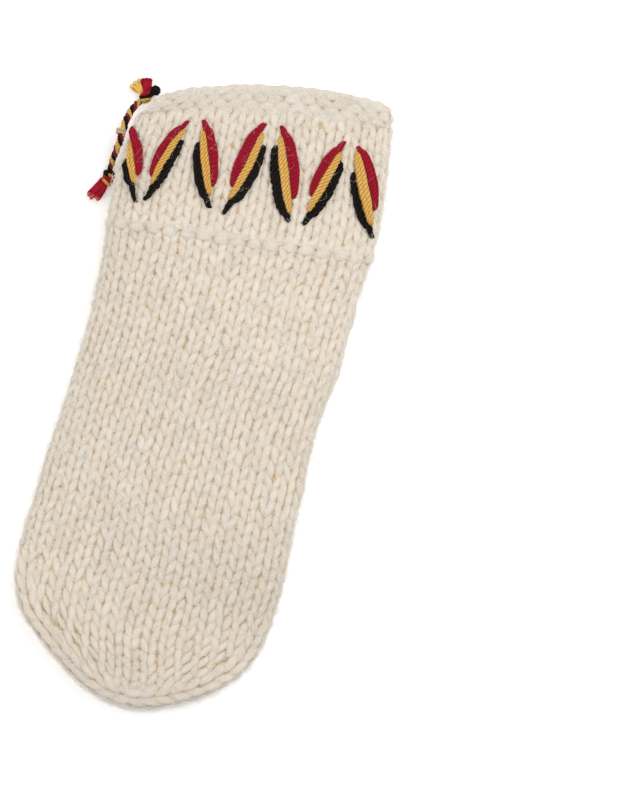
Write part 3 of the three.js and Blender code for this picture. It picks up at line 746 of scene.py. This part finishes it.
def knit(name, sets, node):
    """A piece of plain knitting, of one or more sets of stitches, that stands for a CAD node."""

    def place(t, angle):
        return (np.concatenate(layer) for layer in zip(*(laid(t, angle) for _, laid in sets)))

    count = sum(count for count, _ in sets)
    return stand_in(lay_strands(name, count, 8, 6, place, CREAM_WOOL), [node])


hand_fabric = Fabric(HAND)
wave = np.random.default_rng(11).uniform(0, 2 * math.pi, 8)


def wander(u, v):
    """How far hand knitting strays from straight columns and rows, in mm."""
    aside = 0.5 * np.sin(v / 23 + wave[0] + 9 * u) + 0.35 * np.sin(v / 9.5 + wave[1] + 21 * u)
    along = 0.6 * np.sin(u * 12.6 + wave[2] + v / 40) + 0.4 * np.sin(u * 31 + wave[3])
    return aside, along


v_hole, v_tip = hand_fabric.v_of_y(THUMB_Y), hand_fabric.v_of_y(TIP_FROM)
v_end = hand_fabric.length[-1]


def grid_of(fabric, columns, v_from, v_to):
    """Stitch centres in even columns and rows, a row less than half a stitch past each end."""
    count = int(round((v_to - v_from) / ROW))
    v = v_from + (np.arange(count) + 0.5) * (v_to - v_from) / count
    u = (np.arange(columns) + 0.5) / columns
    u, v = np.meshgrid(u, v)
    aside, along = wander(u, v)
    return (u + aside / fabric.girth_at(v)).ravel() % 1, (v + along).ravel(), (v_to - v_from) / count


# The gusset widens the palm towards the thumb: columns y, left, right, thickness, underside.
GUSSET = [
    (60, 46, 54, 10, 11), (50, 36, 57.4, 22, 4.4), (38, 25, 57.1, 27.4, 0.8), (28, 13.5, 57.1, 30, 0),
    (THUMB_Y, 4, 56.8, 31, 0),
]
GUSSET_TOP = 58  # above it the hand's stitches run on over the gusset


def in_gusset(points, margin):
    """Whether points lie inside the gusset by more than margin mm."""
    table = np.array(GUSSET, float)[::-1]
    left, right, thick, floor = (np.interp(points[..., 1], table[:, 0], table[:, i]) for i in range(1, 5))
    middle, half = (left + right) / 2, (right - left) / 2 - margin
    across = np.clip(np.abs(points[..., 0] - middle) / np.maximum(half, 0.1), 0, 1)
    reach = (1 - across**SIDE_POWER) ** (1 / FACE_POWER)
    centre, tall = floor + thick / 2, thick / 2 - margin
    inside = (np.abs(points[..., 2] - centre) < reach * tall) & (across < 1)
    return inside & (points[..., 1] > THUMB_Y) & (points[..., 1] < GUSSET_TOP)


u, v, tall = grid_of(hand_fabric, HAND_STITCHES, -3.5, v_hole)
seen = ~in_gusset(hand_fabric.at(u, v), 2.0)
wide = hand_fabric.girth_at(v) / HAND_STITCHES
knit("hand_base_knitting", [stitches(hand_fabric, u[seen], v[seen], wide[seen], tall, 21)], "hand_base")

u, v, tall = grid_of(hand_fabric, HAND_STITCHES, v_hole, v_tip)
knit("hand_knitting", [stitches(hand_fabric, u, v, hand_fabric.girth_at(v) / HAND_STITCHES, tall, 22)], "hand")

# ---------------------------------------------------------------- the fingertips
# At the fingertips the tube is narrowed at both folds. The columns run straight on, and end at bands of long
# stitches that follow the outline round to the end, where they are drawn closed.

EDGE_STEP, EDGE_WIDE = 6.8, 8.4  # size of a stitch in the bands along the outline
EDGE_INSET = 5.0  # how far inside the outline the bands on the back and the palm run


class Edging:
    """A strip of cloth along a line: u is mm across it and v is mm along it."""

    def __init__(self, line, outs):
        self.line = line
        self.length = lengths_along(line)
        ahead = np.gradient(line, axis=0)
        outs = outs - ahead * (outs * ahead).sum(1, keepdims=True) / (ahead * ahead).sum(1, keepdims=True)
        self.outs = outs / np.linalg.norm(outs, axis=1, keepdims=True)
        self.asides = np.cross(ahead / np.linalg.norm(ahead, axis=1, keepdims=True), self.outs)

    def girth_at(self, v):
        return 1.0 + 0 * v

    def both(self, u, v, height):
        middle, aside, out = (read_along(v, self.length, values) for values in (self.line, self.asides, self.outs))
        return middle + aside * np.asarray(u)[..., None] + out * np.asarray(height)[..., None], out


tip_rows = hand_fabric.courses[:, 0] < TIP_FROM + 2
tip_courses, tip_net, tip_out = hand_fabric.courses[tip_rows], hand_fabric.net[tip_rows], hand_fabric.out[tip_rows]
folds = [
    np.stack([tip_courses[:, i], tip_courses[:, 0] + tip_courses[:, 1] * tip_courses[:, i]], axis=1) for i in (4, 3)
]
tip_middle = (folds[0][-1] + folds[1][-1]) / 2


def soften(values, reach=4):
    """Each value made the mean of its neighbours'."""
    wide = np.concatenate([np.repeat(values[:1], reach, 0), values, np.repeat(values[-1:], reach, 0)])
    return np.mean([wide[i : i + len(values)] for i in range(2 * reach + 1)], axis=0)


edgings = []
for fold, column in zip(folds, (0, Fabric.ACROSS // 2)):
    past = tip_middle + [-4 if column == 0 else 4, 0.4]
    plan = np.concatenate([fold, tip_middle[None], past[None]])
    high = np.concatenate([tip_net[:, column, 2], np.repeat(tip_net[-1:, column, 2], 2)])
    line = smooth_line(np.column_stack([plan, high]), 90)
    ahead = np.gradient(soften(line[:, :2]), axis=0)
    outward = np.stack([-ahead[:, 1], ahead[:, 0]], axis=1) / np.linalg.norm(ahead, axis=1, keepdims=True)
    outward *= np.sign((outward * (line[:, :2] - [0, -100])).sum(1, keepdims=True))
    outs = np.column_stack([outward, 0 * outward[:, 0]])
    edgings.append(Edging(line - outs * 0.3, outs))
    for way in (1, -1):
        shown = tip_out[..., 2] * way > 0.1
        spots = line[:, :2] - outward * EDGE_INSET
        near = [np.argmin(((tip_net[shown][:, :2] - spot) ** 2).sum(1)) for spot in spots]
        points = np.column_stack([spots, tip_net[shown][near][:, 2]])
        edgings.append(Edging(soften(points), soften(tip_out[shown][near])))

rows = int(round((v_end - v_tip) / ROW))
v = v_tip + (np.arange(rows) + 0.5) * (v_end - v_tip) / rows
away, v = np.meshgrid(np.arange(-8, 9) * STITCH, v)
u = np.concatenate([(face + away / hand_fabric.girth_at(v)).ravel() for face in (0.25, 0.75)])
v = np.tile(v.ravel(), 2)
aside, along = wander(u % 1, v)
v = v + along
u = (u + aside / hand_fabric.girth_at(v)) % 1
spots = hand_fabric.at(u, v)[:, :2]
to_edge = np.min([np.linalg.norm(spots[:, None] - fold[None], axis=2).min(1) for fold in folds], axis=0)
inner = (to_edge > EDGE_INSET + EDGE_WIDE / 2) & (spots[:, 1] > tip_middle[1] + EDGE_INSET + 4)
sets = [stitches(hand_fabric, u[inner], v[inner], np.array(STITCH), (v_end - v_tip) / rows, 23)]
for number, edging in enumerate(edgings):
    v = np.arange(1.0, edging.length[-1], EDGE_STEP)
    sets.append(stitches(edging, 0 * v, v, np.array(EDGE_WIDE), EDGE_STEP, 24 + number))
knit("fingertip_knitting", sets, "tip")

# ---------------------------------------------------------------- the inner side of the knitting
# Behind the legs of the stitches the yarn runs from one to the next, so the fabric is closed and thick. Inside
# the mitten it shows as rows of small purl bumps.

# Painted shade: the wall's wool is a darker, warmer cream than the stitches', and its purl hollows take the gap's
# colour, as it shows only deep between the stitches and inside the mitten.
BACKING = wool(
    "cream wool inside", (236, 218, 186), (222, 198, 158), (190, 158, 114), 1.7, 0.6, 0.0005, 0.3, purl=1
)
WALL_ACROSS, WALL_STEP = 96, 3  # the wall's faces round the tube, and the length of each along it


def backing(name, fabric, inset, thick, v_from, v_to, nodes, closed_end=False):
    """The fabric's body behind its stitches, a closed wall that starts inset mm under the outer face."""
    net = bmesh.new()
    rows = max(3, int((v_to - v_from) / WALL_STEP))
    bmesh.ops.create_grid(net, x_segments=WALL_ACROSS, y_segments=rows, size=1)
    row_layer = net.verts.layers.float_vector.new("row")
    for vert in net.verts:
        u, v = (vert.co.x + 1) / 2, v_from + (1 - vert.co.y) / 2 * (v_to - v_from)
        vert[row_layer] = (u * HAND_STITCHES, v / ROW, 0)
        vert.co = Vector(fabric.at(np.array(u), np.array(v), -inset) * MM)
        vert.co.z = max(vert.co.z, 0.001)
    bmesh.ops.remove_doubles(net, verts=net.verts, dist=1e-6)
    if closed_end:
        lowest = min(vert.co.y for vert in net.verts)
        rim_edges = [e for e in net.edges if e.is_boundary and e.verts[0].co.y < lowest + 0.004]
        bmesh.ops.holes_fill(net, edges=rim_edges, sides=0)
    bmesh.ops.recalc_face_normals(net, faces=net.faces)
    if max(net.faces, key=lambda face: face.calc_center_median().z).normal.z < 0:
        bmesh.ops.reverse_faces(net, faces=net.faces)
    mesh = bpy.data.meshes.new(name)
    net.to_mesh(mesh)
    net.free()
    mesh.shade_smooth()
    mesh.materials.append(BACKING)
    spots = np.zeros(len(mesh.vertices) * 3, np.float32)
    mesh.vertices.foreach_get("co", spots)
    mesh.attributes.new("yarn", "FLOAT_VECTOR", "POINT").data.foreach_set("vector", spots / MM)
    # Painted shade: the whole wall takes some of the gap's colour, as it lies deep behind the stitches.
    shade = np.tile(np.array([0.5, 0.3, 0.2], np.float32), len(mesh.vertices))
    mesh.attributes.new("shade", "FLOAT_VECTOR", "POINT").data.foreach_set("vector", shade)
    piece = bpy.data.objects.new(name, mesh)
    bpy.context.scene.collection.objects.link(piece)
    wall = piece.modifiers.new("wall", "SOLIDIFY")
    wall.thickness = thick * MM
    wall.offset = -1
    return stand_in(piece, nodes)


backing("hand_backing", hand_fabric, 1.0, 3.1, -3, v_end, ["hand_base", "hand", "tip"], closed_end=True)

# ---------------------------------------------------------------- the thumb
# The gusset and the thumb are one smaller tube, knitted on from the palm and closed at the thumb's tip. It is
# folded flat under the palm.

# Columns: y, left and right folds, thickness, underside.
THUMB = [
    (56, 42, 55.5, 14, 9.6), (50, 36, 57.4, 20, 4.6), (38, 25, 57.1, 25, 0.8), (28, 13.5, 57.1, 25, 0),
    (20, 6, 56.9, 22, 0), (12, 3.8, 54.8, 17, 0), (3, 3, 53.0, 15.5, 0), (-12, 3.2, 52, 15.5, 0),
    (-26, 4.6, 51.6, 15.4, 0), (-38, 6.8, 50.6, 15, 0), (-47, 10, 48.6, 14.2, 0), (-54, 14.6, 45.2, 12.6, 0.2),
    (-59.5, 20.5, 40.4, 9.4, 1.4), (-62.8, 27, 35, 4, 3.9),
]
THUMB_STITCHES = 16
thumb_fabric = Fabric(THUMB)
thumb_end = thumb_fabric.length[-1]
u, v, tall = grid_of(thumb_fabric, THUMB_STITCHES, 1.0, thumb_end - 1)
points = thumb_fabric.at(u, v)
courses = hand_fabric.courses
half = np.interp(-points[:, 1], -courses[:, 0], (courses[:, 4] - courses[:, 3]) / 2)
# The stitches that the hand's own fabric doesn't cover: below the gusset, on the palm and past the hand's fold.
outside = (points[:, 1] < THUMB_Y + 2) | (points[:, 2] < 13) | (points[:, 0] > half - 2.5)
wide = thumb_fabric.girth_at(v) / THUMB_STITCHES
above = points[:, 1] > THUMB_Y
for name, chosen, node, seed in (
    ("gusset_knitting", above & outside, "hand_base", 31), ("thumb_knitting", ~above, "thumb", 32),
):
    knit(name, [stitches(thumb_fabric, u[chosen], v[chosen], wide[chosen], tall, seed)], node)
backing("thumb_backing", thumb_fabric, 1.0, 2.9, thumb_fabric.v_of_y(36), thumb_end, ["thumb"], closed_end=True)

# ---------------------------------------------------------------- the welt
# One round of purl stitches in the same cream yarn parts the hand from the cuff. It is knitted in with them,
# and stands up as a soft ridge of wide bumps.

# Columns as for the hand, here and for the cuff.
WELT = [
    (70.7, 0.1, 0, -56.3, 58.8, 25.2, 0.6, 5.8), (69, 0.1, 0, -56.9, 59.4, 26.6, 0, 6.0),
    (65.4, 0.1, 0, -56.7, 59.2, 26.4, 0, 6.2), (63.7, 0.1, 0, -56, 58.6, 25.2, 0.6, 6.4),
]
# Its tan third colour is painted shade under and between the bumps.
RIDGE_WOOL = wool(
    "cream ridge wool", (238, 230, 218), (222, 210, 191), (224, 184, 132), 1.7, 0.95, 0.0006, 0.3, even=0.45
)
# How far the bumps vary: place across, along and up, length, width, thickness and tone.
BUMP_SPREAD = [0.3, 0.35, 0.2, 0.06, 0.08, 0.06, 1]


def purl(name, fabric, places, tall, sink, seed, node, face=1, arch=0.4, long=1.36, dip=0.7, fat=0.3):
    """Rounds of purl bumps: each one strand that lies across the fabric and dips in at both ends.

    face is 1 on the outer face and -1 on the inner one. arch, dip and fat bend and thicken a bump."""
    u, v = places
    chance = np.random.default_rng(seed)
    count = len(u)
    nudge = chance.normal(0, 1, (count, 7)) * BUMP_SPREAD
    luck = chance.random(count)

    def place(t, angle):
        n = nudge[:, :, None]
        bend = (2 * t - 1)[None]
        across = bend * 0.5 * STITCH * long * (1 + n[:, 3]) + n[:, 0]
        along = arch * tall * (bend**2 - 0.4) + n[:, 1]
        full = np.maximum(0, np.sin(np.pi * t))[None] ** 0.5
        along = along + 0.56 * tall * (1 + n[:, 4]) * full * np.cos(angle)[None]
        height = sink - dip * bend**2 + n[:, 2] + fat * tall * (1 + n[:, 5]) * full * np.sin(angle)[None]
        vv = v[:, None] + along
        points, out = fabric.both(u[:, None] - across / fabric.girth_at(vv), vv, face * height)
        spun = angle[None] + 0.45 * across
        yarn = np.stack([np.cos(spun) * 2, np.sin(spun) * 2, across], axis=-1)
        tone = np.clip(0.55 + 0.15 * n[:, 6] + 0 * height, 0, 1)
        # Painted shade: where a bump dips into the cloth, the gap's colour is painted in; the inner side gets none.
        depth = np.clip(sink + 0.55 - height + 2.2 * (np.abs(bend) - 0.62), 0, 1) * (face > 0)
        shade = np.stack([tone, depth, np.broadcast_to(luck[:, None], height.shape)], axis=-1)
        return (points, yarn, shade, out) if face > 0 else (points, yarn, shade)

    return stand_in(lay_strands(name, count, 9, 8, place, RIDGE_WOOL), [node])


def rounds(fabric, v_at, seed):
    """Bump centres in even rounds, each set half a bump on from the last."""
    u, v = np.meshgrid((np.arange(HAND_STITCHES) + 0.5) / HAND_STITCHES, v_at)
    u = u + (0.5 / HAND_STITCHES) * (np.arange(len(v_at)) % 2)[:, None]
    aside, along = wander(u, v + seed)
    return (u + aside / fabric.girth_at(v)).ravel() % 1, (v + 0.5 * along).ravel()


welt_fabric = Fabric(WELT, step=0.8)
upper, ridge = rounds(welt_fabric, [1.2], 3), rounds(welt_fabric, [4.5], 4)
purl("welt_upper_bumps", welt_fabric, upper, tall=5.0, sink=-1.3, seed=41, node="welt", arch=0.2, long=1.6, dip=0.5)
purl("welt_ridge", welt_fabric, ridge, tall=5.8, sink=-1.3, seed=42, node="welt", arch=0.3, long=1.24, dip=1.0)
backing("welt_backing", welt_fabric, 1.8, 2.8, -1, welt_fabric.length[-1] + 1, ["welt"])

# ---------------------------------------------------------------- the cuff
# The band of the cuff is plain knitting like the hand's. Its rim is a few rounds of purl, which keep the edge
# from rolling in and give it a soft thick lip.

BAND = [
    (117.2, 0.178, 5.5, -55.2, 54.4, 23, 3, 2.8), (105, 0.16, 4.0, -56.6, 56.2, 23, 3, 3.6),
    (92, 0.135, 2.4, -57.7, 57.9, 23, 3, 4.4), (80, 0.115, 1.0, -57.3, 59.1, 23, 3, 5.2),
    (71, 0.1, 0, -56.6, 59.0, 23, 3, 5.8),
]
RIM = [
    (129.2, 0.19, 7.0, -49.5, 50.6, 23, 0.6, 2.0), (126, 0.187, 6.6, -52.2, 52.2, 25, 0, 2.3),
    (117.5, 0.178, 5.5, -55.0, 54.2, 26, 0, 2.8),
]
band_fabric = Fabric(BAND)
band_end = band_fabric.length[-1]
u, v, tall = grid_of(band_fabric, HAND_STITCHES, -1.5, band_end + 3)
wide = band_fabric.girth_at(v) / HAND_STITCHES
knit("cuff_knitting", [stitches(band_fabric, u, v, wide, tall, 51)], "cuff_band")
backing("cuff_backing", band_fabric, 1.0, 3.1, -3, band_end + 2, ["cuff_band"])

rim_fabric, rim_inside = Fabric(RIM, step=0.8), Fabric(RIM, inset=4.5, step=0.8)
rim_end = rim_fabric.length[-1]
for tube in (rim_fabric, rim_inside):  # the lip's corner by the tie is well rounded
    pulled = np.clip((-35 - tube.net[..., 0]) / 14.5, 0, 1.2) ** 2
    tube.net[..., 1] -= pulled * np.linspace(4.6, 0, len(tube.net))[:, None]
outer, lip = rounds(rim_fabric, [3.6, 6.8, 10.0, 13.0], 1), rounds(rim_fabric, [1.9], 4)
purl("rim_bumps", rim_fabric, outer, tall=4.9, sink=-1.4, seed=61, node="rim")
purl("rim_lip", rim_fabric, lip, tall=4.4, sink=-2.3, seed=63, node="rim", arch=0.1, long=2.0, dip=0.3, fat=0.42)
inside = rounds(rim_inside, [3.4, 6.6, 9.8, 12.6], 2)
purl("rim_inside_bumps", rim_inside, inside, tall=4.2, sink=-0.9, seed=62, node="rim", face=-1)
backing("rim_backing", rim_fabric, 1.6, 1.5, 2.6, rim_end, ["rim"])

# ---------------------------------------------------------------- the embroidery
# Slanted strokes go round the cuff, each of three long stitches of soft thick yarn laid side by side: red,
# then yellow, then black, every one a step lower than the last.

# The yellow stitch: x and y of its top, lean, drop and bow. Then red's and black's ends as shares of it, and the
# side on which red lies.
STROKES = [
    (-54.1, 97.9, 6.4, 17.7, -0.6, (-0.37, 0.8), (0.4, 1.4), 1),
    (-32.6, 108.2, -8.2, 26.9, -0.9, (-0.15, 0.89), (0.16, 1.26), -1),
    (-25.1, 110.1, 9.9, 27.3, -0.5, (-0.14, 0.86), (0.2, 1.18), 1),
    (0.0, 114.7, -7.2, 31.7, 1.4, (-0.13, 0.83), (0.14, 1.2), -1),
    (7.9, 115.4, 12.1, 32.2, -0.4, (-0.12, 0.82), (0.12, 1.09), 1),
    (34.7, 115.0, -7.7, 29.0, 0.1, (-0.16, 0.78), (0.13, 1.19), -1),
    (41.2, 116.7, 13.7, 29.7, -0.6, (-0.07, 0.82), (0.26, 1.15), 1),
]
# The full width of the red, the yellow and the black stitch of each stroke.
STRAND_WIDTHS = [
    (4.2, 3.2, 2.6), (3.4, 3.2, 3.3), (4.3, 3.7, 3.7), (4.9, 3.6, 3.6), (5.0, 4.1, 4.1), (4.0, 3.8, 3.7),
    (4.4, 4.8, 3.3),
]
THREADS = (3, 2, 2)  # soft threads laid side by side in each red, yellow and black stitch
TAPER = (0.37, 0.37, 0.27)  # how far the ends of each colour taper
TWIST = (3.3, 3.3, 2.3)  # how hard it is spun
PLY_RELIEF = (0.07, 0.07, 0.17)  # how far its plies stand out
LUMPS = (0.03, 0.03, 0.13)  # how uneven its yarn is
BESIDE = 0.485  # how far apart two stitches lie, as a share of their widths together
THREAD_APART, THREAD_FULL = 0.42, 0.58  # how far the threads spread in a stitch, and how full each is
STRAND_THICK, STRAND_LIFT = 2.4, 0.1  # how thick a stitch is, and how far it lies off the knitting
END_SINK = 1.3  # how deep the ends go into the knitting
FOLD_LIMIT = 0.985  # share of the half width that a stroke may reach


def band_face(x, y, side):
    """The point of the band's face over x, y in plan, on its back or its palm, and the way out from it."""
    table = np.array(BAND)
    high = table[:, 0] + table[:, 1] * x + table[:, 2] * (1 - (x / BOW_HALF_WIDTH) ** 2)
    course = np.array([np.interp(-y, -high, table[:, i]) for i in range(8)])
    half, middle = (course[4] - course[3]) / 2, (course[4] + course[3]) / 2
    held = min(max(x, middle - FOLD_LIMIT * half), middle + FOLD_LIMIT * half)

    def level(at):
        return cloth_height(at, side * (1 - abs((at - middle) / half) ** SIDE_POWER) ** (1 / FACE_POWER), *course[5:])

    slope = (level(held + 0.2) - level(held - 0.2)) / 0.4
    out = np.array([-slope, 0, 1.0]) * side
    return np.array([held, y, level(held)]), out / np.linalg.norm(out)


def stroke_strand(number, index, side, thread, steps=44):
    """One thread of a long stitch. The yellow stitch bows a little, and the others lie close against its sides."""
    x, y, lean, drop, bow, red_ends, black_ends, red_side = STROKES[number]
    widths, threads = STRAND_WIDTHS[number], THREADS[index]
    place_in = (thread + 0.5) / threads * 2 - 1  # from the stitch's left side, -1, to its right side, 1
    first, last = (red_ends, (0.0, 1.0), black_ends)[index]
    across = np.array([drop, lean]) / math.hypot(lean, drop)
    beside = across * red_side * (1, 0, -1)[index]
    uneven = np.random.default_rng(number * 3 + index).uniform(0, 6, 3) + thread

    def full(share):
        return max(0.0, math.sin(math.pi * min(max(share, 0), 1))) ** TAPER[index]

    line, outs = [], []
    for t in np.linspace(0, 1, steps):
        share = first + t * (last - first)
        spot = np.array([x, y]) + share * np.array([lean, -drop]) + np.array([bow * full(share) ** 2, 0])
        spot = spot + beside * BESIDE * (widths[1] * full(share) + widths[index] * full(t))
        spot = spot + across * THREAD_APART * place_in * widths[index] * full(t)
        spot = spot + 0.1 * np.sin(uneven[:2] + t * np.array([17.0, 21.0]))
        face, out = band_face(spot[0], spot[1], side)
        lift = STRAND_LIFT + STRAND_THICK / 2 * full(t) * (1.1 - 0.5 * place_in**2)
        line.append(face + out * (lift - END_SINK * (1 - min(1, full(t) * 2.1))))
        outs.append(out)
    line, outs = np.array(line), np.array(outs)
    half_wide, half_thick, lumps = widths[index] / threads * THREAD_FULL, STRAND_THICK * 0.42, LUMPS[index]

    def place(t, turn):
        points, yarn, depth = yarn_on(
            line, half_wide, half_thick, 0.36, t, turn, TWIST[index], 3, PLY_RELIEF[index], outs
        )
        middle = read_along(t, np.linspace(0, 1, steps), line)
        lump = 1 + lumps * np.sin(uneven[0] + 2.3 * yarn[:, 2] + turn) + lumps * np.sin(uneven[1] + 1.1 * yarn[:, 2])
        return middle + (points - middle) * lump[:, None], yarn, depth

    return place


chance = np.random.default_rng(7)
for face, side in (("back", 1), ("palm", -1)):
    for index, (colour, material) in enumerate((("red", RED_WOOL), ("yellow", YELLOW_WOOL), ("black", BLACK_WOOL))):
        yarns = [
            (stroke_strand(number, index, side, thread), chance.uniform(0.3, 0.8), chance.random())
            for number in range(len(STROKES)) for thread in range(THREADS[index])
        ]
        piece = lay_strands(f"{face}_{colour}_strokes", len(yarns), 10, 46, several(yarns), material)
        strands = [f"stitch_{face}_{number + 1}_{colour}" for number in range(len(STROKES))]
        stand_in(piece, strands)

# ---------------------------------------------------------------- the halo
# The wool is loosely spun, so fine pale fibres stand up all over the knitting. They soften every stitch and
# the outline, and some of them lie across the embroidery.

NEAR_A_STROKE = 3.4  # how close to a stroke's line a fibre over the embroidery springs

loose_fibres("hand_base_halo", hand_fabric, 5400, 0, v_hole, 71, "hand_base")
loose_fibres("hand_halo", hand_fabric, 13000, v_hole, v_tip, 72, "hand")
loose_fibres("fingertip_halo", hand_fabric, 5200, v_tip, v_end, 73, "tip")
loose_fibres("thumb_halo", thumb_fabric, 2600, 30, thumb_end, 74, "thumb")
loose_fibres("welt_halo", welt_fabric, 900, -1, welt_fabric.length[-1] + 1, 75, "welt")
loose_fibres("cuff_halo", band_fabric, 4600, -1, band_end + 1, 76, "cuff_band")
stroke_lines = np.array([
    [x + share * lean, y - share * drop]
    for x, y, lean, drop, *_ in STROKES for share in np.linspace(-0.1, 1.1, 14)
])


def by_the_strokes(points):
    """Whether points in plan lie near a stroke of the embroidery."""
    return np.min(np.linalg.norm(points[:, None, :2] - stroke_lines[None], axis=2), axis=1) < NEAR_A_STROKE


loose_fibres(
    "embroidery_halo", band_fabric, 560, 0, band_end, 78, "cuff_band",
    keep=by_the_strokes, base=2.75, lift=(0.2, 0.6), rings=7, fine_by=0.32,
)
loose_fibres("rim_halo", rim_fabric, 1800, 1.6, rim_end, 77, "rim")
